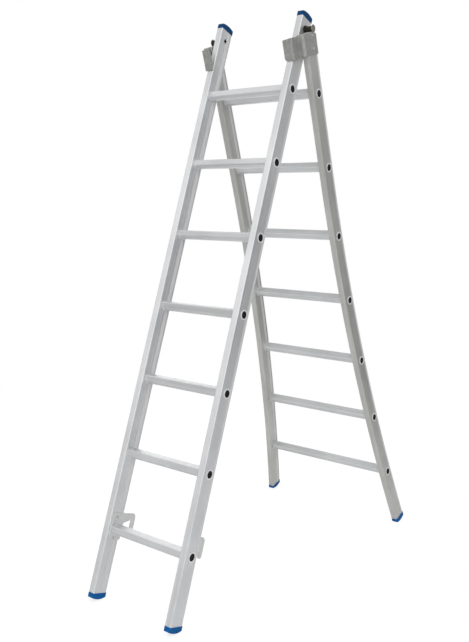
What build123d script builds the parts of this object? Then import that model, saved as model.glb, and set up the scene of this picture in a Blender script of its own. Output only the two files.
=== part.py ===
"""Two-section aluminium combination ladder, standing open as a stepladder.

Millimetres, +Z up. X runs along the rungs and the front section stands at -Y.
The origin lies on the floor, midway between the front and the rear feet.
Each section has a frame of its own: x along the rungs, y to its back, z up its stiles.
Heights on a section are measured along its stiles in that frame.
"""

import os
from math import asin, cos, degrees, radians, sin, tan

from build123d import *

os.makedirs("parts", exist_ok=True)

# How the open ladder stands
front_lean = radians(18.5)
rear_lean = radians(19.5)
spread = front_lean + rear_lean
stance_shift = -0.0485
frame_rise = 2.4

# Stiles: one box extrusion for both sections
stile_depth = 58.0
stile_width = 24.0
stile_wall = 1.6
front_corner = 3.0
back_corner = 6.0
groove_width = 2.0
groove_depth = 0.7
outer_groove = 15.0
inner_grooves = (3.0, 18.0)

# Front section
front_half_width = 175.5
front_first_rung = 226.0
front_tube_foot = 20.0
front_tube_top = 1968.5
hinge_height = 1932.0

# Rear section: straight above the bend, flared out to the feet below it
rear_half_width = 205.0
rear_first_rung = 235.0
bend_start = 1465.0
bend_radius = 9281.0
rear_tube_foot = 20.0

# Rungs: flat tread above a half-round underside, ends drawn down to round spigots
rung_count = 7
rung_pitch = 250.0
rung_width = 30.0
rung_wall = 2.0
tread_corner = 3.0
tread_grooves = 5
tread_groove_pitch = 4.6
tread_groove_width = 1.6
tread_groove_depth = 0.8
bead_radius = 16.5
bead_thickness = 2.5
spigot_radius = 14.0
spigot_hole_radius = 14.05
spigot_wall = 1.8
flare_radius = 16.0
flare_thickness = 1.5
flare_gap = 0.03
rung_end_wall = 9.0
plug_radius = 11.9
plug_thickness = 1.6
plug_recess = 0.3
plug_taper = 15.0

# End caps and feet: the same moulding on all stile ends
cap_overhang = 1.0
cap_edge = 15.0
cap_crown = 5.0
cap_rounding = 2.5
cap_corner = 5.0
spigot_fit = 0.3
cap_spigot_length = 24.0
cap_spigot_wall = 2.4
cap_floor = 4.0

# Hinge: flat-headed bolt and nylon roller on the front section, resting on the rear section
pin_setback = 18.0
bolt_radius = 5.0
bolt_hole_radius = 5.1
bolt_head_radius = 12.0
bolt_head_height = 2.0
bolt_head_edge = 0.6
roller_radius = 8.5
roller_flange_radius = 12.0
roller_flange = 4.3
roller_bore_radius = 5.06
roller_gap = 0.3
roller_end_gap = 0.4
washer_radius = 10.0
washer_thickness = 1.6
nut_across = 16.0
nut_height = 8.0
bolt_tip = 1.5
access_hole_radius = 7.0

# Top bracket: folded sheet round the rear stile, with a lip in front of the front stile
sheet = 2.5
wall_stand_off = 15.5
back_fold = 3.0
outer_fold = 12.0
inner_fold = 2.5
lip_fold = 3.0
bracket_bottom = 1857.0
bracket_heel = ((-60.0, 1857.0), (-50.0, 1861.5))
bracket_shoulder = (-50.0, 1925.5)
bracket_crest = (-45.0, 1929.0)
bracket_back_top = 1921.5
lip_top = 1926.5
lip_end_top = 1922.0
lip_bottom = 1858.0
lip_inner_end = 148.0
lip_corner = 9.0
lip_gap = 0.3
plate_clearance = 5.0
return_flange = 12.5
rivet_setback = 5.0
rivet_heights = (1876.0, 1917.0)
rivet_head_radius = 5.2
rivet_head_height = 2.4
rivet_taper = 32.0
rivet_radius = 2.4
rivet_hole_radius = 2.5
rivet_grip = 0.2

# Guide buttons: nylon pivots on the brackets, beside the front stiles
closed_offset = 47.5
closed_rise = 40.0
button_radius = 6.0
button_head = 4.4
button_gap = 0.3
stem_radius = 3.0
stem_hole_radius = 3.05

# Hooks: plates on the front stiles that hang over a rung of the rear section
hook_thickness = 4.5
hook_top = 280.0
hook_bottom = 192.0
hook_front = -20.0
hook_heel = 28.8
hook_arm = (65.0, 82.0)
hook_tip = 213.0
hook_seat_height = 237.0
hook_seat_gap = 0.4
hook_rivets = ((-5.0, 268.0), (-5.0, 200.5))
hook_rivet_head_radius = 4.5
hook_round = 8.0
hook_shoulder = 15.0
hook_tip_radius = 8.0
hook_throat_radius = 4.0

# Top plugs of the rear stiles, with a saddle behind the roller
top_plug_flange = 2.0
top_plug_length = 24.0
saddle_height = 5.5

# Where the hinge bolt lies on the rear section, and how far apart the feet stand
hinge_rise = (hinge_height * cos(front_lean) - pin_setback * sin(rear_lean)) / cos(rear_lean)
stance = hinge_height * sin(front_lean) + hinge_rise * sin(rear_lean) - pin_setback * cos(rear_lean)
rear_top = hinge_rise - roller_radius - roller_gap
rung_heights_front = [front_first_rung + rung_pitch * i for i in range(rung_count)]
rung_heights_rear = [rear_first_rung + rung_pitch * i for i in range(rung_count)]

# The lip stops the front stile when the ladder is spread
lip_drop = (hinge_rise + stile_depth / 2 * sin(spread) - lip_bottom) / cos(spread)
lip_face = lip_drop * sin(spread) + stile_depth / 2 * cos(spread) - pin_setback + lip_gap

# The button stands on the pole of the move from spread to folded
button_height = hinge_rise + closed_rise / 2 - (closed_offset + pin_setback) / 2 / tan(spread / 2)
button_forward = (closed_offset - pin_setback) / 2 + closed_rise / 2 / tan(spread / 2)


def section_frame(foot_y, lean):
    """Frame of a section, on the middle line of its stiles and close above the floor."""
    return Plane(origin=(0, foot_y, frame_rise), x_dir=(1, 0, 0), z_dir=(0, sin(lean), cos(lean)))


front = section_frame(-stance / 2 + stance_shift, front_lean)
rear = section_frame(stance / 2 + stance_shift, -rear_lean)


def side_view(frame, x):
    """Plane across the rungs at x, with its own x to the back and its own y up the stile."""
    origin = frame.from_local_coords((x, 0, 0))
    return Plane(origin=origin, x_dir=frame.y_dir, z_dir=frame.x_dir)


def front_view(frame):
    """Plane through the stiles of a section, seen from the front."""
    return Plane(origin=frame.origin, x_dir=frame.x_dir, z_dir=-frame.y_dir)


def rung_plane(frame, x, height):
    """Plane across one rung, turned so that the treads are level on the open front section."""
    origin = frame.from_local_coords((x, 0, height))
    forward = frame.y_dir * cos(front_lean) + frame.z_dir * sin(front_lean)
    return Plane(origin=origin, x_dir=forward, z_dir=frame.x_dir)


def face_plane(frame, side, x, height, tilt):
    """Plane on a side face of a stile, facing away from the middle of the ladder."""
    origin = frame.from_local_coords((side * x, 0, height))
    outward = frame.x_dir * (side * cos(tilt)) + frame.z_dir * sin(tilt)
    return Plane(origin=origin, x_dir=frame.y_dir, z_dir=outward)


def flare(height, depth):
    """Half-width of the rear section at a height, at a depth below the outer face, and its tilt."""
    drop = max(0.0, bend_start - height)
    tilt = asin(drop / (bend_radius + depth))
    return rear_half_width + bend_radius - (bend_radius + depth) * cos(tilt), tilt


def save(part, name):
    """Label a finished piece and write it to its file."""
    part.label = name
    export_step(part, f"parts/{name}.step")


def side_name(side):
    """Name of a side of the ladder, seen by a person in front of it."""
    return "right" if side > 0 else "left"


def draw_box(depth, width, front_radius, back_radius, mode):
    """Box section with different corner radii at the front and at the back."""
    overlap = front_radius + back_radius
    half = depth / 2 + overlap
    with Locations((0, -depth / 2 + half / 2)):
        RectangleRounded(width, half, front_radius, mode=mode)
    with Locations((0, depth / 2 - half / 2)):
        RectangleRounded(width, half, back_radius, mode=mode)


def draw_stile(side, outer_face):
    """Hollow stile section with fine grooves along both side faces."""
    inner_face = outer_face - stile_width
    with Locations((side * (outer_face - stile_width / 2), 0)):
        draw_box(stile_depth, stile_width, front_corner, back_corner, Mode.ADD)
        draw_box(
            stile_depth - 2 * stile_wall,
            stile_width - 2 * stile_wall,
            front_corner - stile_wall,
            back_corner - stile_wall,
            Mode.SUBTRACT,
        )
    with Locations((side * outer_face, outer_groove)):
        Rectangle(2 * groove_depth, groove_width, mode=Mode.SUBTRACT)
    with Locations(*[(side * inner_face, place) for place in inner_grooves]):
        Rectangle(2 * groove_depth, groove_width, mode=Mode.SUBTRACT)


# Stiles of the front section
for side in (-1, 1):
    inner_face = front_half_width - stile_width
    with BuildPart() as front_stile:
        with BuildSketch(front.offset(front_tube_foot)):
            draw_stile(side, front_half_width)
        extrude(amount=front_tube_top - front_tube_foot)
        with BuildSketch(side_view(front, side * (inner_face - stile_wall))):
            with Locations(*[(0, height) for height in rung_heights_front]):
                Circle(spigot_hole_radius)
            with Locations((0, hinge_height)):
                Circle(bolt_hole_radius)
        extrude(amount=side * (stile_width + 2 * stile_wall), mode=Mode.SUBTRACT)
        with BuildSketch(side_view(front, side * (inner_face - stile_wall))):
            with Locations(*hook_rivets):
                Circle(rivet_hole_radius)
            with Locations((0, hinge_height)):
                Circle(access_hole_radius)
        extrude(amount=side * 3 * stile_wall, mode=Mode.SUBTRACT)
    save(front_stile.part, f"front_{side_name(side)}_stile")

# Stiles of the rear section, curved outwards below the bend
flare_angle = asin((bend_start - rear_tube_foot) / (bend_radius + stile_width / 2))
rear_tube_top = rear_top - top_plug_flange
for side in (-1, 1):
    middle = rear_half_width - stile_width / 2
    foot_reach = flare(0, 0)[0]
    with BuildPart() as rear_stile:
        with BuildLine(front_view(rear)) as path:
            Line((side * middle, rear_tube_top), (side * middle, bend_start))
            JernArc(
                (side * middle, bend_start),
                (0, -1),
                bend_radius + stile_width / 2,
                side * degrees(flare_angle),
            )
        with BuildSketch(rear.offset(rear_tube_top)):
            draw_stile(side, rear_half_width)
        sweep(path=path.line)
        with BuildSketch(side_view(rear, side * (middle - stile_width))):
            with Locations(*[(0, height) for height in rung_heights_rear]):
                Circle(spigot_hole_radius)
        extrude(amount=side * (foot_reach - middle + 2 * stile_width), mode=Mode.SUBTRACT)
        with BuildSketch(side_view(rear, side * middle)):
            with Locations(*[(rivet_setback, height) for height in rivet_heights]):
                Circle(rivet_hole_radius)
        extrude(amount=side * stile_width, mode=Mode.SUBTRACT)
    save(rear_stile.part, f"rear_{side_name(side)}_stile")


def make_rung(frame, height, outer, seat, tilt):
    """One hollow rung, from its flared end on one stile to the flared end on the other."""
    half = rung_width / 2
    with BuildPart() as rung:
        with BuildSketch(rung_plane(frame, 0, height)) as bar:
            Circle(half)
            with Locations((0, half / 2)):
                Rectangle(rung_width, half)
            fillet(bar.vertices().group_by(Axis.Y)[-1], tread_corner)
            with Locations((0, half)):
                with GridLocations(tread_groove_pitch, 0, tread_grooves, 1):
                    Rectangle(tread_groove_width, 2 * tread_groove_depth, mode=Mode.SUBTRACT)
        extrude(amount=outer, both=True)
        for side in (-1, 1):
            split(bisect_by=face_plane(frame, side, seat, height, tilt), keep=Keep.BOTTOM)
        for side in (-1, 1):
            with BuildSketch(face_plane(frame, side, seat, height, tilt)):
                Circle(bead_radius)
            extrude(amount=-bead_thickness)
            with BuildSketch(rung_plane(frame, side * (seat - rung_end_wall), height)):
                Circle(spigot_radius)
            extrude(amount=side * (outer - seat + 2 * rung_end_wall))
            flange = face_plane(frame, side, outer, height, tilt).offset(flare_gap)
            with BuildSketch(flange):
                Circle(flare_radius)
            extrude(amount=flare_thickness)
            split(bisect_by=flange.offset(flare_thickness), keep=Keep.BOTTOM)
        with BuildSketch(rung_plane(frame, 0, height)):
            Circle(spigot_radius - spigot_wall)
        extrude(amount=outer + rung_end_wall, both=True, mode=Mode.SUBTRACT)
        with BuildSketch(rung_plane(frame, 0, height)):
            Circle(half - rung_wall)
            with Locations((0, (half - rung_wall - tread_groove_depth) / 2)):
                Rectangle(rung_width - 2 * rung_wall, half - rung_wall - tread_groove_depth)
        extrude(amount=seat - rung_end_wall, both=True, mode=Mode.SUBTRACT)
    return rung.part


# Rungs of the front section: the lowest one also holds the hook plates
for number, height in enumerate(rung_heights_front, start=1):
    seat = front_half_width - stile_width
    if number == 1:
        seat -= hook_thickness
    save(make_rung(front, height, front_half_width, seat, 0.0), f"front_rung_{number}")

# Rungs of the rear section: longer towards the feet
for number, height in enumerate(rung_heights_rear, start=1):
    outer = flare(height, 0)[0]
    seat, seat_tilt = flare(height, stile_width)
    save(make_rung(rear, height, outer, seat, seat_tilt), f"rear_rung_{number}")


def rung_end(frame, side, height):
    """Plane on the flared end of a rung."""
    reach, tilt = front_half_width, 0.0
    if frame is rear:
        reach, tilt = flare(height, 0)
    return face_plane(frame, side, reach, height, tilt).offset(flare_gap + flare_thickness)


# Plugs in the open rung ends
for frame, heights, name in (
    (front, rung_heights_front, "front_rung_plugs"),
    (rear, rung_heights_rear, "rear_rung_plugs"),
):
    with BuildPart() as rung_plugs:
        for height in heights:
            for side in (-1, 1):
                mouth = rung_end(frame, side, height)
                with BuildSketch(mouth.offset(-plug_recess - plug_thickness)):
                    Circle(plug_radius)
                extrude(amount=plug_thickness, taper=plug_taper)
    save(rung_plugs.part, name)


def make_cap(end, on_floor):
    """Domed end of a stile; the plane lies on the tube's end and faces out of it."""
    width = stile_width + 2 * cap_overhang
    depth = stile_depth + 2 * cap_overhang
    hole_width = stile_width - 2 * stile_wall - 2 * spigot_fit
    hole_depth = stile_depth - 2 * stile_wall - 2 * spigot_fit
    profile = Plane(origin=end.origin, x_dir=end.y_dir, z_dir=end.x_dir)
    with BuildPart() as cap:
        with BuildSketch(end):
            RectangleRounded(width, depth, cap_corner)
        extrude(amount=cap_edge + cap_crown)
        with BuildSketch(profile):
            with BuildLine():
                Polyline((-depth / 2, cap_edge), (-depth / 2, 0), (depth / 2, 0), (depth / 2, cap_edge))
                ThreePointArc((-depth / 2, cap_edge), (0, cap_edge + cap_crown), (depth / 2, cap_edge))
            make_face()
        extrude(amount=width, both=True, mode=Mode.INTERSECT)
        dome = cap.faces().sort_by(Axis(end.origin, end.z_dir))[-1]
        fillet(dome.edges(), cap_rounding)
        with BuildSketch(end):
            RectangleRounded(hole_width, hole_depth, back_corner)
        extrude(amount=-cap_spigot_length)
        with BuildSketch(end.offset(-cap_spigot_length)):
            RectangleRounded(
                hole_width - 2 * cap_spigot_wall,
                hole_depth - 2 * cap_spigot_wall,
                back_corner - cap_spigot_wall,
            )
        extrude(amount=cap_spigot_length + cap_floor, mode=Mode.SUBTRACT)
        if on_floor:
            split(bisect_by=Plane.XY, keep=Keep.TOP)
    return cap.part


# Caps and feet of the front section
for side in (-1, 1):
    middle = side * (front_half_width - stile_width / 2)
    top_end = Plane(
        origin=front.from_local_coords((middle, 0, front_tube_top)),
        x_dir=front.x_dir,
        z_dir=front.z_dir,
    )
    foot_end = Plane(
        origin=front.from_local_coords((middle, 0, front_tube_foot)),
        x_dir=front.x_dir,
        z_dir=-front.z_dir,
    )
    save(make_cap(top_end, False), f"front_{side_name(side)}_cap")
    save(make_cap(foot_end, True), f"front_{side_name(side)}_foot")

# Feet of the rear section, square to the curved stile ends
for side in (-1, 1):
    reach = rear_half_width + bend_radius - (bend_radius + stile_width / 2) * cos(flare_angle)
    foot_end = Plane(
        origin=rear.from_local_coords((side * reach, 0, rear_tube_foot)),
        x_dir=rear.x_dir * cos(flare_angle) + rear.z_dir * (side * sin(flare_angle)),
        z_dir=rear.x_dir * (side * sin(flare_angle)) - rear.z_dir * cos(flare_angle),
    )
    save(make_cap(foot_end, True), f"rear_{side_name(side)}_foot")

# Plugs that close the tops of the rear stiles, hollowed round the rollers at the back
for side in (-1, 1):
    with BuildPart() as top_plug:
        with BuildSketch(rear.offset(rear_tube_top)):
            with Locations((side * (rear_half_width - stile_width / 2), 0)):
                draw_box(stile_depth, stile_width, front_corner, back_corner, Mode.ADD)
        extrude(amount=top_plug_flange + saddle_height)
        with BuildSketch(side_view(rear, side * (rear_half_width - stile_width))):
            with Locations((-stile_depth / 2, rear_top)):
                Rectangle(stile_depth / 2 + pin_setback, saddle_height, align=(Align.MIN, Align.MIN))
            with Locations((pin_setback, hinge_rise)):
                Circle(roller_radius + roller_gap)
        extrude(amount=side * stile_width, mode=Mode.SUBTRACT)
        with BuildSketch(rear.offset(rear_tube_top)):
            with Locations((side * (rear_half_width - stile_width / 2), 0)):
                RectangleRounded(
                    stile_width - 2 * stile_wall - 2 * spigot_fit,
                    stile_depth - 2 * stile_wall - 2 * spigot_fit,
                    back_corner,
                )
        extrude(amount=-top_plug_length)
        with BuildSketch(rear.offset(rear_tube_top - top_plug_length)):
            with Locations((side * (rear_half_width - stile_width / 2), 0)):
                RectangleRounded(
                    stile_width - 2 * stile_wall - 2 * spigot_fit - 2 * cap_spigot_wall,
                    stile_depth - 2 * stile_wall - 2 * spigot_fit - 2 * cap_spigot_wall,
                    back_corner - cap_spigot_wall,
                )
        extrude(amount=top_plug_length, mode=Mode.SUBTRACT)
    save(top_plug.part, f"rear_{side_name(side)}_top_plug")

# Top brackets: return flange, outer plate, front wall, front plate and lip in one folded sheet
back_y = stile_depth / 2 + sheet / 2
bracket_back = stile_depth / 2 + 2 * sheet
wall_y = back_y + wall_stand_off
outer_x = rear_half_width + sheet / 2
plate_inside = front_half_width + plate_clearance
for side in (-1, 1):
    with BuildPart() as bracket:
        with BuildSketch(rear.offset(bracket_bottom)):
            with BuildLine():
                FilletPolyline(
                    (side * (rear_half_width - return_flange + sheet), back_y),
                    (side * outer_x, back_y),
                    (side * outer_x, -wall_y),
                    (side * (plate_inside + sheet / 2), -wall_y),
                    (side * (plate_inside + sheet / 2), -lip_face - sheet / 2),
                    (side * lip_inner_end, -lip_face - sheet / 2),
                    radius=(back_fold, outer_fold, inner_fold, lip_fold),
                )
            trace(line_width=sheet)
        extrude(amount=bracket_crest[1] - bracket_bottom)
        with BuildSketch(side_view(rear, 0)):
            with BuildLine():
                Polyline(
                    (-lip_face - 2 * sheet, lip_top),
                    bracket_shoulder,
                    bracket_crest,
                    (bracket_back, bracket_back_top),
                    (bracket_back, bracket_crest[1] + sheet),
                    (-lip_face - 2 * sheet, bracket_crest[1] + sheet),
                    close=True,
                )
            make_face()
            with BuildLine():
                Polyline(
                    *bracket_heel,
                    (bracket_back, bracket_bottom),
                    (bracket_back, bracket_bottom - sheet),
                    (bracket_heel[0][0], bracket_bottom - sheet),
                    close=True,
                )
            make_face()
            with Locations((-lip_face, lip_bottom)):
                Rectangle(2 * sheet, lip_bottom - bracket_bottom, align=(Align.MAX, Align.MAX))
        extrude(amount=side * 2 * rear_half_width, mode=Mode.SUBTRACT)
        with BuildSketch(front_view(rear).offset(lip_face - sheet)):
            with BuildLine():
                Polyline(
                    (side * lip_inner_end, lip_end_top),
                    (side * (plate_inside - lip_fold), lip_top),
                    (side * (plate_inside - lip_fold), lip_top + sheet),
                    (side * lip_inner_end, lip_top + sheet),
                    close=True,
                )
            make_face()
        extrude(amount=3 * sheet, mode=Mode.SUBTRACT)
        corners = bracket.edges().filter_by(Axis(rear.origin, rear.y_dir)).sort_by(Axis.X)
        lip_end = corners[:2] if side > 0 else corners[-2:]
        fillet(lip_end.sort_by(Axis.Z)[0], lip_corner)
        with BuildSketch(side_view(rear, side * rear_half_width)):
            with Locations(*[(rivet_setback, height) for height in rivet_heights]):
                Circle(rivet_hole_radius)
        extrude(amount=side * sheet, mode=Mode.SUBTRACT)
        with BuildSketch(side_view(rear, side * plate_inside)):
            with Locations((-button_forward, button_height)):
                Circle(stem_hole_radius)
        extrude(amount=side * sheet, mode=Mode.SUBTRACT)
    save(bracket.part, f"{side_name(side)}_bracket")

# Rivets that hold the brackets to the rear stiles
with BuildPart() as bracket_rivets:
    for side in (-1, 1):
        outside = side_view(rear, side * (rear_half_width + sheet))
        for height in rivet_heights:
            with BuildSketch(outside):
                with Locations((rivet_setback, height)):
                    Circle(rivet_head_radius)
            extrude(amount=side * rivet_head_height, taper=rivet_taper)
            with BuildSketch(outside):
                with Locations((rivet_setback, height)):
                    Circle(rivet_radius)
            extrude(amount=-side * (sheet + stile_wall + rivet_grip))
save(bracket_rivets.part, "bracket_rivets")

# Guide buttons: a round head beside the front stile and a stem that turns in the bracket
head_inside = front_half_width + button_gap
for side in (-1, 1):
    with BuildPart() as button:
        with BuildSketch(side_view(rear, side * head_inside)):
            with Locations((-button_forward, button_height)):
                Circle(button_radius)
        extrude(amount=side * button_head)
        with BuildSketch(side_view(rear, side * head_inside)):
            with Locations((-button_forward, button_height)):
                Circle(stem_radius)
        extrude(amount=side * (plate_inside + sheet - head_inside))
    save(button.part, f"{side_name(side)}_guide_button")

# Hinge bolts: a flat round head outside the roller and a nut inside the front stile
roller_end = rear_half_width + roller_end_gap
washer_face = front_half_width - stile_wall
nut_face = washer_face - washer_thickness
bolt_end = nut_face - nut_height - bolt_tip
for side in (-1, 1):
    with BuildPart() as bolt:
        with BuildSketch(side_view(front, side * bolt_end)):
            with Locations((0, hinge_height)):
                Circle(bolt_radius)
        extrude(amount=side * (roller_end - bolt_end))
        with BuildSketch(side_view(front, side * roller_end)):
            with Locations((0, hinge_height)):
                Circle(bolt_head_radius)
        extrude(amount=side * bolt_head_height)
        outside = bolt.faces().sort_by(Axis.X)[-1 if side > 0 else 0]
        chamfer(outside.edges(), bolt_head_edge)
    save(bolt.part, f"{side_name(side)}_hinge_bolt")

# Nylon rollers on the bolts, with a flange against the front stile
for side in (-1, 1):
    with BuildPart() as roller:
        with BuildSketch(side_view(front, side * front_half_width)):
            with Locations((0, hinge_height)):
                Circle(roller_flange_radius)
        extrude(amount=side * roller_flange)
        with BuildSketch(side_view(front, side * front_half_width)):
            with Locations((0, hinge_height)):
                Circle(roller_radius)
        extrude(amount=side * (roller_end - front_half_width))
        with BuildSketch(side_view(front, side * front_half_width)):
            with Locations((0, hinge_height)):
                Circle(roller_bore_radius)
        extrude(amount=side * (roller_end - front_half_width), mode=Mode.SUBTRACT)
    save(roller.part, f"{side_name(side)}_roller")

# Washers under the nuts
with BuildPart() as hinge_washers:
    for side in (-1, 1):
        with BuildSketch(side_view(front, side * washer_face)):
            with Locations((0, hinge_height)):
                Circle(washer_radius)
                Circle(bolt_hole_radius, mode=Mode.SUBTRACT)
        extrude(amount=-side * washer_thickness)
save(hinge_washers.part, "hinge_washers")

# Nuts on the bolts, inside the front stiles
with BuildPart() as hinge_nuts:
    for side in (-1, 1):
        with BuildSketch(side_view(front, side * nut_face)):
            with Locations((0, hinge_height)):
                RegularPolygon(nut_across / 2, 6, major_radius=False)
                Circle(bolt_hole_radius, mode=Mode.SUBTRACT)
        extrude(amount=-side * nut_height)
save(hinge_nuts.part, "hinge_nuts")


def throat_top(back):
    """Height of the slanted seat of a hook at a distance behind the stile's middle."""
    reach = rung_width / 2 + hook_seat_gap - (closed_offset - back) * sin(front_lean)
    return hook_seat_height + reach / cos(front_lean)


# Hooks: each lies on the inner face of a front stile, with the lowest rung through it
hook_face = front_half_width - stile_width
hook_outline = (
    (hook_front, hook_top, hook_round),
    (hook_arm[1], hook_top, hook_shoulder),
    (hook_arm[1], hook_tip, hook_tip_radius),
    (hook_arm[0], hook_tip, hook_tip_radius),
    (hook_arm[0], throat_top(hook_arm[0]), hook_throat_radius),
    (hook_heel, throat_top(hook_heel), hook_throat_radius),
    (hook_heel, hook_bottom, hook_round),
    (hook_front, hook_bottom, hook_round),
)
for side in (-1, 1):
    with BuildPart() as hook:
        with BuildSketch(side_view(front, side * hook_face)) as plate:
            with BuildLine():
                Polyline(*[(back, height) for back, height, radius in hook_outline], close=True)
            make_face()
            for back, height, radius in hook_outline:
                fillet(plate.vertices().sort_by_distance((back, height, 0))[0], radius)
            with Locations((0, front_first_rung)):
                Circle(spigot_hole_radius, mode=Mode.SUBTRACT)
            with Locations(*hook_rivets):
                Circle(rivet_hole_radius, mode=Mode.SUBTRACT)
        extrude(amount=-side * hook_thickness)
    save(hook.part, f"{side_name(side)}_hook")

# Rivets that hold the hooks to the front stiles
with BuildPart() as hook_rivet_group:
    for side in (-1, 1):
        outside = side_view(front, side * (hook_face - hook_thickness))
        for place in hook_rivets:
            with BuildSketch(outside):
                with Locations(place):
                    Circle(hook_rivet_head_radius)
            extrude(amount=-side * rivet_head_height, taper=rivet_taper)
            with BuildSketch(outside):
                with Locations(place):
                    Circle(rivet_radius)
            extrude(amount=side * (hook_thickness + stile_wall + rivet_grip))
save(hook_rivet_group.part, "hook_rivets")
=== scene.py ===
"""Looks of the two-section combination ladder: camera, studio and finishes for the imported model."""

from math import radians
import bmesh
import bpy
from mathutils import Matrix, Vector

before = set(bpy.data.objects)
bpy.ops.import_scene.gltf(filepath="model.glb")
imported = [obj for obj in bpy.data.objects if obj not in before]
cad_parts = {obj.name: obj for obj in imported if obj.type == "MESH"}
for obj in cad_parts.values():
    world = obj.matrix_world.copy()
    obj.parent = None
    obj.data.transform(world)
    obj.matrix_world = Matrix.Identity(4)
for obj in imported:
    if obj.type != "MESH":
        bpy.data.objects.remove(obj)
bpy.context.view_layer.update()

# Camera
# It stands to the right in front of the open ladder, at chest height, and looks a little down.
# The picture is taller than wide, so the sensor's long side stands upright.
# Size of the picture and the point straight ahead of the camera, in pixels
picture_width = 469
picture_height = 642
sight_centre = (233.64, 328.52)
# Sensor and lens in millimetres, place in metres
sensor_side = 36.0
lens_length = 43.03
camera_place = (1.5707, -2.2219, 1.2360)
camera_turn = radians(36.887)
camera_drop = radians(8.447)
camera_roll = radians(1.132)
# A new camera faces straight down, and this angle raises it to the level
level_sight = radians(90)

camera_data = bpy.data.cameras.new("camera")
camera_data.sensor_width = sensor_side
camera_data.lens = lens_length
camera_data.shift_x = (picture_width / 2 - sight_centre[0]) / picture_height
camera_data.shift_y = (sight_centre[1] - picture_height / 2) / picture_height
camera = bpy.data.objects.new("camera", camera_data)
bpy.context.scene.collection.objects.link(camera)
camera.matrix_world = (
    Matrix.Translation(camera_place)
    @ Matrix.Rotation(camera_turn, 4, "Z")
    @ Matrix.Rotation(level_sight - camera_drop, 4, "X")
    @ Matrix.Rotation(camera_roll, 4, "Z")
)
bpy.context.scene.camera = camera
bpy.context.scene.view_settings.view_transform = "Standard"


# Studio floor
# Matt white paper under the ladder, on a darker studio floor. To the eye it is plain white, with a soft
# shadow near the feet, and the metal mirrors that white where it lies behind the ladder.
def hex_colour(code):
    """Linear colour of an sRGB hex value."""
    channels = [int(code[start:start + 2], 16) / 255 for start in (1, 3, 5)]
    linear = [c / 12.92 if c <= 0.04045 else ((c + 0.055) / 1.055) ** 2.4 for c in channels]
    return (*linear, 1.0)


def add_node(tree, kind, inputs, **settings):
    """Add a node to a tree, with its settings, and give or link its inputs."""
    node = tree.nodes.new(kind)
    for name, value in settings.items():
        setattr(node, name, value)
    for name, value in inputs.items():
        if isinstance(value, bpy.types.NodeSocket):
            tree.links.new(value, node.inputs[name])
        else:
            node.inputs[name].default_value = value
    return node


def find_white(tree, behind):
    """Share of plain white that a ray meets: all of it directly, and what lies behind in a reflection."""
    ray = add_node(tree, "ShaderNodeLightPath", {})
    direct = add_node(
        tree,
        "ShaderNodeMath",
        {0: ray.outputs["Is Camera Ray"], 1: ray.outputs["Is Transmission Ray"]},
        operation="MAXIMUM",
    )
    mirrored = add_node(
        tree, "ShaderNodeMath", {0: ray.outputs["Is Glossy Ray"], 1: behind}, operation="MULTIPLY"
    )
    seen = add_node(
        tree, "ShaderNodeMath", {0: direct.outputs[0], 1: mirrored.outputs[0]}, operation="MAXIMUM"
    )
    return seen.outputs[0]


# Places and distances in metres, with the start and end of each soft edge
floor_reach = 20.0
floor_sides = 64
white = "#FFFFFF"
paper_colour = "#E6E6E6"
bare_floor_colour = "#9A9A9A"
paper_middle = (0.0, -0.2, 0.0)
paper_edge = (2.2, 4.0)
shadow_share = 0.4
shadow_edge = (1.0, 3.0)
near_level = 1.28
far_level = 1.0
backdrop_middle = (-1.8, 2.4, 0.0)
backdrop_edge = (2.4, 1.6)

paper = bpy.data.materials.new("matt_white_paper")
paper.use_nodes = True
tree = paper.node_tree
tree.nodes.clear()
place = add_node(tree, "ShaderNodeTexCoord", {})

# The paper's own matt surface, which takes the light and the shadow
paper_distance = add_node(
    tree, "ShaderNodeVectorMath", {0: place.outputs["Object"], 1: paper_middle}, operation="DISTANCE"
)
off_paper = add_node(
    tree,
    "ShaderNodeMapRange",
    {"Value": paper_distance.outputs["Value"], "From Min": paper_edge[0], "From Max": paper_edge[1]},
)
floor_tone = add_node(tree, "ShaderNodeValToRGB", {"Fac": off_paper.outputs["Result"]})
floor_tone.color_ramp.elements[0].color = hex_colour(paper_colour)
floor_tone.color_ramp.elements[1].color = hex_colour(bare_floor_colour)
matt = add_node(tree, "ShaderNodeBsdfDiffuse", {"Color": floor_tone.outputs["Color"]})

# The plain white, a little stronger near the ladder, where the matt surface shows through it
distance = add_node(tree, "ShaderNodeVectorMath", {0: place.outputs["Object"]}, operation="LENGTH")
level = add_node(
    tree,
    "ShaderNodeMapRange",
    {
        "Value": distance.outputs["Value"],
        "From Min": shadow_edge[0],
        "From Max": shadow_edge[1],
        "To Min": near_level,
        "To Max": far_level,
    },
    interpolation_type="SMOOTHSTEP",
)
plain = add_node(
    tree, "ShaderNodeEmission", {"Color": hex_colour(white), "Strength": level.outputs["Result"]}
)

# Where the white is seen: directly all over, and in reflections behind the ladder
backdrop_distance = add_node(
    tree, "ShaderNodeVectorMath", {0: place.outputs["Object"], 1: backdrop_middle}, operation="DISTANCE"
)
behind = add_node(
    tree,
    "ShaderNodeMapRange",
    {
        "Value": backdrop_distance.outputs["Value"],
        "From Min": backdrop_edge[0],
        "From Max": backdrop_edge[1],
    },
)
seen = find_white(tree, behind.outputs["Result"])
whiteness = add_node(
    tree,
    "ShaderNodeMapRange",
    {
        "Value": distance.outputs["Value"],
        "From Min": shadow_edge[0],
        "From Max": shadow_edge[1],
        "To Min": 1.0 - shadow_share,
    },
    interpolation_type="SMOOTHSTEP",
)
share = add_node(
    tree, "ShaderNodeMath", {0: seen, 1: whiteness.outputs["Result"]}, operation="MULTIPLY"
)
surface = add_node(
    tree,
    "ShaderNodeMixShader",
    {0: share.outputs[0], 1: matt.outputs["BSDF"], 2: plain.outputs["Emission"]},
)
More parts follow.
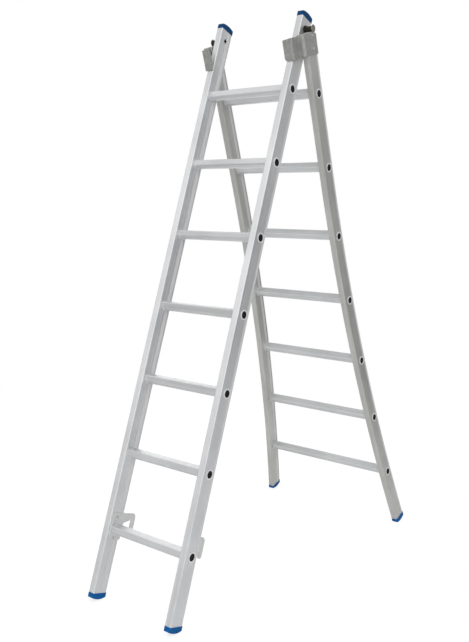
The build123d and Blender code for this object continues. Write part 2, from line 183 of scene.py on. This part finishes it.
add_node(tree, "ShaderNodeOutputMaterial", {"Surface": surface.outputs["Shader"]})

shape = bmesh.new()
bmesh.ops.create_circle(shape, cap_ends=True, segments=floor_sides, radius=floor_reach)
floor_mesh = bpy.data.meshes.new("floor")
shape.to_mesh(floor_mesh)
shape.free()
floor_mesh.materials.append(paper)
floor = bpy.data.objects.new("floor", floor_mesh)
bpy.context.scene.collection.objects.link(floor)

# Studio light
# Four large soft boxes, in a room that is dim at eye level and paler above. The room is plain white to
# the eye, and the metal mirrors that white where it lies behind the ladder.
room_low = 0.40
room_high = 0.54
room_seen = 1.0
# Upward part of a line of sight at eye level, and where the room is palest
eye_level = 0.0
pale_height = 0.6
# Way to the background, and the cosines of the angles from it at which its white starts and is full
backdrop_way = (-0.6, 0.8, 0.0)
backdrop_spread = (0.82, 0.91)
ladder_middle = Vector((0.0, -0.1, 1.0))
# Name, place and width in metres, and power in watts
lamps = (
    ("front_left_softbox", (-2.1, -2.8, 2.5), 3.6, 20.0),
    ("overhead_softbox", (0.5, 1.1, 3.6), 2.4, 14.0),
    ("camera_softbox", (1.8, -2.7, 2.8), 6.0, 82.0),
    ("back_left_softbox", (-2.6, 3.0, 1.8), 3.2, 30.0),
)

world = bpy.data.worlds.new("studio_room")
bpy.context.scene.world = world
world.use_nodes = True
tree = world.node_tree
tree.nodes.clear()
direction = add_node(tree, "ShaderNodeTexCoord", {})
height = add_node(tree, "ShaderNodeSeparateXYZ", {"Vector": direction.outputs["Generated"]})
dim = add_node(
    tree,
    "ShaderNodeMapRange",
    {
        "Value": height.outputs["Z"],
        "From Min": eye_level,
        "From Max": pale_height,
        "To Min": room_low,
        "To Max": room_high,
    },
)
way = add_node(
    tree,
    "ShaderNodeVectorMath",
    {0: direction.outputs["Generated"], 1: backdrop_way},
    operation="DOT_PRODUCT",
)
behind = add_node(
    tree,
    "ShaderNodeMapRange",
    {"Value": way.outputs["Value"], "From Min": backdrop_spread[0], "From Max": backdrop_spread[1]},
)
level = add_node(
    tree,
    "ShaderNodeMapRange",
    {
        "Value": find_white(tree, behind.outputs["Result"]),
        "To Min": dim.outputs["Result"],
        "To Max": room_seen,
    },
)
room = add_node(
    tree,
    "ShaderNodeBackground",
    {"Color": hex_colour(white), "Strength": level.outputs["Result"]},
)
add_node(tree, "ShaderNodeOutputWorld", {"Surface": room.outputs["Background"]})

for name, lamp_place, width, power in lamps:
    lamp_data = bpy.data.lights.new(name, "AREA")
    lamp_data.shape = "DISK"
    lamp_data.size = width
    lamp_data.energy = power
    lamp = bpy.data.objects.new(name, lamp_data)
    bpy.context.scene.collection.objects.link(lamp)
    aim = (ladder_middle - Vector(lamp_place)).to_track_quat("-Z", "Y")
    lamp.matrix_world = Matrix.Translation(lamp_place) @ aim.to_matrix().to_4x4()


# Stiles
# Four box extrusions of aluminium alloy, left as they come from the press. They are satin, with faint lines
# from the die along their whole length and a duller band beside the grooves of each side face, whose paler
# colour is painted light.
mm = 0.001
# Foot of each section's middle line, and its lean from upright
front_foot = (0.0, -621.42 * mm, 2.4 * mm)
rear_foot = (0.0, 621.32 * mm, 2.4 * mm)
front_lean = radians(18.5)
rear_lean = radians(19.5)
front_stile_colours = ("#DADBDD", "#EAEBEC")
# The rear stiles are darker than the front ones, as painted shade for the light that falls off towards the
# back
rear_stile_colours_painted_shade = ("#C6C6C3", "#D6D6D3")
# Real die lines are well under a millimetre wide, so they are drawn coarser to show at all
die_line_width = 5.0 * mm
die_line_length = 900.0 * mm
die_line_detail = 3.0
ridge_height = 0.05 * mm
ridge_strength = 0.25
cloud_size = 120.0 * mm
cloud_detail = 2.0
# Values of a pattern between which its tones or its gloss change
streak_range = (0.12, 0.40)
noise_range = (0.3, 0.7)
satin_roughness = (0.40, 0.52)
aluminium_metal = 0.8


def extruded_aluminium(name, colours, line_sizes, turn):
    """Pressed aluminium: pale satin metal, with streaks along its run and soft clouds of tone.

    Its oxide skin takes a little of the metal's shine.
    """
    material = bpy.data.materials.new(name)
    material.use_nodes = True
    tree = material.node_tree
    shader = tree.nodes["Principled BSDF"]
    place = add_node(tree, "ShaderNodeTexCoord", {})
    along = add_node(
        tree,
        "ShaderNodeMapping",
        {"Vector": place.outputs["Object"], "Rotation": (turn, 0.0, 0.0), "Scale": line_sizes},
        vector_type="TEXTURE",
    )
    lines = add_node(
        tree,
        "ShaderNodeTexNoise",
        {"Vector": along.outputs["Vector"], "Scale": 1.0, "Detail": die_line_detail},
    )
    clouds = add_node(
        tree,
        "ShaderNodeTexNoise",
        {"Vector": place.outputs["Object"], "Scale": 1.0 / cloud_size, "Detail": cloud_detail},
    )
    tone = add_node(
        tree, "ShaderNodeMath", {0: lines.outputs["Fac"], 1: clouds.outputs["Fac"]}, operation="MULTIPLY"
    )
    colour = add_node(tree, "ShaderNodeValToRGB", {"Fac": tone.outputs[0]})
    for stop, position, code in zip(colour.color_ramp.elements, streak_range, colours):
        stop.position = position
        stop.color = hex_colour(code)
    gloss = add_node(
        tree,
        "ShaderNodeMapRange",
        {
            "Value": lines.outputs["Fac"],
            "From Min": noise_range[0],
            "From Max": noise_range[1],
            "To Min": satin_roughness[0],
            "To Max": satin_roughness[1],
        },
    )
    ridges = add_node(
        tree,
        "ShaderNodeBump",
        {"Height": lines.outputs["Fac"], "Strength": ridge_strength, "Distance": ridge_height},
    )
    tree.links.new(colour.outputs["Color"], shader.inputs["Base Color"])
    tree.links.new(gloss.outputs["Result"], shader.inputs["Roughness"])
    tree.links.new(ridges.outputs["Normal"], shader.inputs["Normal"])
    shader.inputs["Metallic"].default_value = aluminium_metal
    return material


# A Mix node has a pair of inputs for numbers and another for colours, each with its own output
number_a, number_b, number_out = 2, 3, 0
colour_a, colour_b, colour_out = 6, 7, 2


def turn_dull(tree, share, colour, roughness, metal):
    """Blend a finish towards a paler and duller one, by a share that changes over the surface."""
    shader = tree.nodes["Principled BSDF"]
    rough = shader.inputs["Roughness"]
    tint = shader.inputs["Base Color"]
    shine = shader.inputs["Metallic"]
    rougher = add_node(
        tree,
        "ShaderNodeMix",
        {"Factor": share, number_a: rough.links[0].from_socket, number_b: roughness},
        data_type="FLOAT",
    )
    paler = add_node(
        tree,
        "ShaderNodeMix",
        {"Factor": share, colour_a: tint.links[0].from_socket, colour_b: hex_colour(colour)},
        data_type="RGBA",
    )
    duller = add_node(
        tree,
        "ShaderNodeMix",
        {"Factor": share, number_a: shine.default_value, number_b: metal},
        data_type="FLOAT",
    )
    tree.links.new(rougher.outputs[number_out], rough)
    tree.links.new(paler.outputs[colour_out], tint)
    tree.links.new(duller.outputs[number_out], shine)


# Reach of the bands behind the middle of the stile: between the grooves inside, from groove to edge outside
inner_band = (4.0 * mm, 17.0 * mm)
outer_band = (16.0 * mm, 26.5 * mm)
band_share = 0.8
# The band's paler colour is painted light, standing for the light that this strip of face catches
band_painted_light_colour = "#E4E4E5"
band_roughness = 0.75
band_metal = 0.3


def add_dull_bands_with_painted_light(material, foot, turn):
    """Dull band along each side face of the stiles of a section, beside the grooves, with a paler colour
    that is painted light.
    """
    tree = material.node_tree
    place = add_node(tree, "ShaderNodeTexCoord", {})
    section = add_node(
        tree,
        "ShaderNodeMapping",
        {"Vector": place.outputs["Object"], "Location": foot, "Rotation": (turn, 0.0, 0.0)},
        vector_type="TEXTURE",
    )
    across = add_node(tree, "ShaderNodeSeparateXYZ", {"Vector": section.outputs["Vector"]})
    facing = add_node(tree, "ShaderNodeSeparateXYZ", {"Vector": place.outputs["Normal"]})
    inner, outer = [
        add_node(
            tree,
            "ShaderNodeMath",
            {0: across.outputs["Y"], 1: (start + end) / 2, 2: (end - start) / 2},
            operation="COMPARE",
        )
        for start, end in (inner_band, outer_band)
    ]
    outward = add_node(
        tree, "ShaderNodeMath", {0: across.outputs["X"], 1: facing.outputs["X"]}, operation="MULTIPLY"
    )
    outside = add_node(tree, "ShaderNodeMath", {0: outward.outputs[0], 1: 0.0}, operation="GREATER_THAN")
    band = add_node(
        tree,
        "ShaderNodeMix",
        {"Factor": outside.outputs[0], number_a: inner.outputs[0], number_b: outer.outputs[0]},
        data_type="FLOAT",
    )
    dullness_and_painted_light = add_node(
        tree, "ShaderNodeMath", {0: band.outputs[number_out], 1: band_share}, operation="MULTIPLY"
    )
    # In the band the roughness and metal turn duller, and the colour turns paler as painted light
    turn_dull(tree, dullness_and_painted_light.outputs[0], band_painted_light_colour, band_roughness, band_metal)


def finish_node(name, material):
    """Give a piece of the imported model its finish."""
    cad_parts[name].material_slots[0].material = material


stile_lines = (die_line_width, die_line_width, die_line_length)
for section, foot, turn, colours in (
    ("front", front_foot, -front_lean, front_stile_colours),
    ("rear", rear_foot, rear_lean, rear_stile_colours_painted_shade),
):
    stile_finish = extruded_aluminium(f"extruded_aluminium_{section}_stiles", colours, stile_lines, turn)
    add_dull_bands_with_painted_light(stile_finish, foot, turn)
    finish_node(f"{section}_left_stile", stile_finish)
    finish_node(f"{section}_right_stile", stile_finish)

# Rungs
# Hollow aluminium extrusions with a grooved tread, pressed fast in the stiles by a bead inside and a flared
# rim outside. Their die lines run from side to side, and the surface turns paler and more matt where it
# faces sideways, as on the rims.
rung_count = 7
rung_lines = (die_line_length, die_line_width, die_line_width)
rung_colours = ("#D9DADB", "#E7E8E9")
# A rim is where the surface turns sideways, by this much of its facing
rim_slope = (0.2, 0.4)
rim_share = 0.9
rim_colour = "#F6F6F6"
rim_roughness = 0.6
rim_metal = 0.1

rung_finish = extruded_aluminium("extruded_aluminium_rungs", rung_colours, rung_lines, turn=0.0)
tree = rung_finish.node_tree
place = add_node(tree, "ShaderNodeTexCoord", {})
facing = add_node(tree, "ShaderNodeSeparateXYZ", {"Vector": place.outputs["Normal"]})
sideways = add_node(tree, "ShaderNodeMath", {0: facing.outputs["X"]}, operation="ABSOLUTE")
rim = add_node(
    tree,
    "ShaderNodeMapRange",
    {
        "Value": sideways.outputs[0],
        "From Min": rim_slope[0],
        "From Max": rim_slope[1],
        "To Max": rim_share,
    },
)
turn_dull(tree, rim.outputs["Result"], rim_colour, rim_roughness, rim_metal)
for number in range(1, rung_count + 1):
    finish_node(f"front_rung_{number}", rung_finish)
    finish_node(f"rear_rung_{number}", rung_finish)

# Rung plugs
# Black polyethylene mouldings pushed into the open ends of the rungs. They are dull, with a grain from
# the mould. On this and the other mouldings it is drawn coarser than the real one, so that it shows.
plug_colours = ("#161618", "#222225")
plug_grain = 0.8 * mm
plug_grain_height = 0.08 * mm
plug_roughness = 0.5
grain_detail = 2.0
grain_strength = 0.5
grain_gloss = 0.06
grains_per_cloud = 10
cloud_range = (0.35, 0.65)
plastic_shine = 0.1


def moulded_plastic(name, colours, grain, grain_height, roughness):
    """Moulded plastic: a nearly even colour with a fine grain, which breaks up what little it mirrors."""
    material = bpy.data.materials.new(name)
    material.use_nodes = True
    tree = material.node_tree
    shader = tree.nodes["Principled BSDF"]
    place = add_node(tree, "ShaderNodeTexCoord", {})
    grains = add_node(
        tree,
        "ShaderNodeTexNoise",
        {"Vector": place.outputs["Object"], "Scale": 1.0 / grain, "Detail": grain_detail},
    )
    clouds = add_node(
        tree,
        "ShaderNodeTexNoise",
        {
            "Vector": place.outputs["Object"],
            "Scale": 1.0 / (grains_per_cloud * grain),
            "Detail": cloud_detail,
        },
    )
    colour = add_node(tree, "ShaderNodeValToRGB", {"Fac": clouds.outputs["Fac"]})
    for stop, position, code in zip(colour.color_ramp.elements, cloud_range, colours):
        stop.position = position
        stop.color = hex_colour(code)
    gloss = add_node(
        tree,
        "ShaderNodeMapRange",
        {
            "Value": grains.outputs["Fac"],
            "From Min": noise_range[0],
            "From Max": noise_range[1],
            "To Min": roughness - grain_gloss,
            "To Max": roughness + grain_gloss,
        },
    )
    bumps = add_node(
        tree,
        "ShaderNodeBump",
        {"Height": grains.outputs["Fac"], "Strength": grain_strength, "Distance": grain_height},
    )
    tree.links.new(colour.outputs["Color"], shader.inputs["Base Color"])
    tree.links.new(gloss.outputs["Result"], shader.inputs["Roughness"])
    tree.links.new(bumps.outputs["Normal"], shader.inputs["Normal"])
    shader.inputs["Specular IOR Level"].default_value = plastic_shine
    return material


plug_finish = moulded_plastic(
    "moulded_black_polyethylene", plug_colours, plug_grain, plug_grain_height, plug_roughness
)
for section in ("front", "rear"):
    finish_node(f"{section}_rung_plugs", plug_finish)

# Caps and feet
# Blue polypropylene mouldings pushed into both ends of the front stiles and the lower ends of the rear
# stiles. They are domed, with a small flat sole to stand on, and the caps on top are a darker blue.
cap_colours = ("#0B3F70", "#0E477C")
foot_colours = ("#0B5898", "#1162A6")
cap_grain = 0.9 * mm
cap_grain_height = 0.1 * mm
cap_roughness = 0.48

cap_finish, foot_finish = [
    moulded_plastic(name, colours, cap_grain, cap_grain_height, cap_roughness)
    for name, colours in (
        ("moulded_dark_blue_polypropylene", cap_colours),
        ("moulded_blue_polypropylene", foot_colours),
    )
]
for side in ("left", "right"):
    finish_node(f"front_{side}_cap", cap_finish)
    finish_node(f"front_{side}_foot", foot_finish)
    finish_node(f"rear_{side}_foot", foot_finish)

# Brackets and hooks
# Steel sheet for the brackets and plate for the hooks, cut, folded and then dipped in zinc. The zinc sets
# in crystals of some millimetres, which differ a little in tone.
bracket_colours = ("#A9AAA6", "#C0C1BD")
bracket_roughness = 0.45
bracket_metal = 0.7
hook_colours = ("#DADBDB", "#E8E9E9")
hook_roughness = 0.5
hook_metal = 0.8
crystal_size = 6.0 * mm
crystal_share = 0.45
crystal_gloss = 0.1
crystal_range = (0.2, 0.8)
crystals_per_bloom = 5
bloom_detail = 4.0
bloom_height = 0.1 * mm
bloom_strength = 0.3


def zinc_coated_steel(name, colours, crystal, roughness, metal):
    """Steel under zinc: grey metal with faint crystals and a cloudy bloom, which dulls its shine."""
    material = bpy.data.materials.new(name)
    material.use_nodes = True
    tree = material.node_tree
    shader = tree.nodes["Principled BSDF"]
    place = add_node(tree, "ShaderNodeTexCoord", {})
    crystals = add_node(
        tree, "ShaderNodeTexVoronoi", {"Vector": place.outputs["Object"], "Scale": 1.0 / crystal}
    )
    bloom = add_node(
        tree,
        "ShaderNodeTexNoise",
        {
            "Vector": place.outputs["Object"],
            "Scale": 1.0 / (crystals_per_bloom * crystal),
            "Detail": bloom_detail,
        },
    )
    split = add_node(tree, "ShaderNodeSeparateColor", {"Color": crystals.outputs["Color"]})
    tone = add_node(
        tree,
        "ShaderNodeMix",
        {"Factor": crystal_share, number_a: bloom.outputs["Fac"], number_b: split.outputs["Red"]},
        data_type="FLOAT",
    )
    colour = add_node(tree, "ShaderNodeValToRGB", {"Fac": tone.outputs[number_out]})
    for stop, position, code in zip(colour.color_ramp.elements, crystal_range, colours):
        stop.position = position
        stop.color = hex_colour(code)
    gloss = add_node(
        tree,
        "ShaderNodeMapRange",
        {
            "Value": tone.outputs[number_out],
            "To Min": roughness - crystal_gloss,
            "To Max": roughness + crystal_gloss,
        },
    )
    unevenness = add_node(
        tree,
        "ShaderNodeBump",
        {"Height": bloom.outputs["Fac"], "Strength": bloom_strength, "Distance": bloom_height},
    )
    tree.links.new(colour.outputs["Color"], shader.inputs["Base Color"])
    tree.links.new(gloss.outputs["Result"], shader.inputs["Roughness"])
    tree.links.new(unevenness.outputs["Normal"], shader.inputs["Normal"])
    shader.inputs["Metallic"].default_value = metal
    return material


bracket_finish = zinc_coated_steel(
    "galvanised_steel_sheet", bracket_colours, crystal_size, bracket_roughness, bracket_metal
)
hook_finish = zinc_coated_steel(
    "galvanised_steel_plate", hook_colours, crystal_size, hook_roughness, hook_metal
)
for side in ("left", "right"):
    finish_node(f"{side}_bracket", bracket_finish)
    finish_node(f"{side}_hook", hook_finish)

# Hinge bolts, washers, nuts and rivets
# Steel plated with zinc, bright on the bolts, washers and nuts and duller on the rivets, whose heads were
# hammered over. The crystals of thin plating are too fine to show, so they are drawn coarser.
bolt_colours = ("#8A887E", "#A3A197")
bolt_roughness = 0.35
bolt_metal = 0.8
rivet_colours = ("#B0AFA9", "#C4C3BD")
rivet_roughness = 0.45
rivet_metal = 0.6
plating_crystal = 2.0 * mm

bolt_finish = zinc_coated_steel(
    "bright_zinc_plated_steel", bolt_colours, plating_crystal, bolt_roughness, bolt_metal
)
rivet_finish = zinc_coated_steel(
    "dull_zinc_plated_steel", rivet_colours, plating_crystal, rivet_roughness, rivet_metal
)
for name in ("left_hinge_bolt", "right_hinge_bolt", "hinge_washers", "hinge_nuts"):
    finish_node(name, bolt_finish)
for name in ("bracket_rivets", "hook_rivets"):
    finish_node(name, rivet_finish)

# Rollers, guide buttons and stile plugs
# Nylon mouldings that the sections bear on: black rollers on the hinge bolts, grey buttons in the brackets,
# and grey plugs in the tops of the rear stiles, hollowed where the rollers rest.
roller_colours = ("#2C2924", "#403C34")
roller_roughness = 0.38
button_colours = ("#A9A9A6", "#B7B7B4")
button_roughness = 0.45
nylon_grain = 0.8 * mm
nylon_grain_height = 0.06 * mm

roller_finish = moulded_plastic(
    "moulded_black_nylon", roller_colours, nylon_grain, nylon_grain_height, roller_roughness
)
button_finish = moulded_plastic(
    "moulded_grey_nylon", button_colours, nylon_grain, nylon_grain_height, button_roughness
)
for side in ("left", "right"):
    finish_node(f"{side}_roller", roller_finish)
    finish_node(f"{side}_guide_button", button_finish)
    finish_node(f"rear_{side}_top_plug", button_finish)
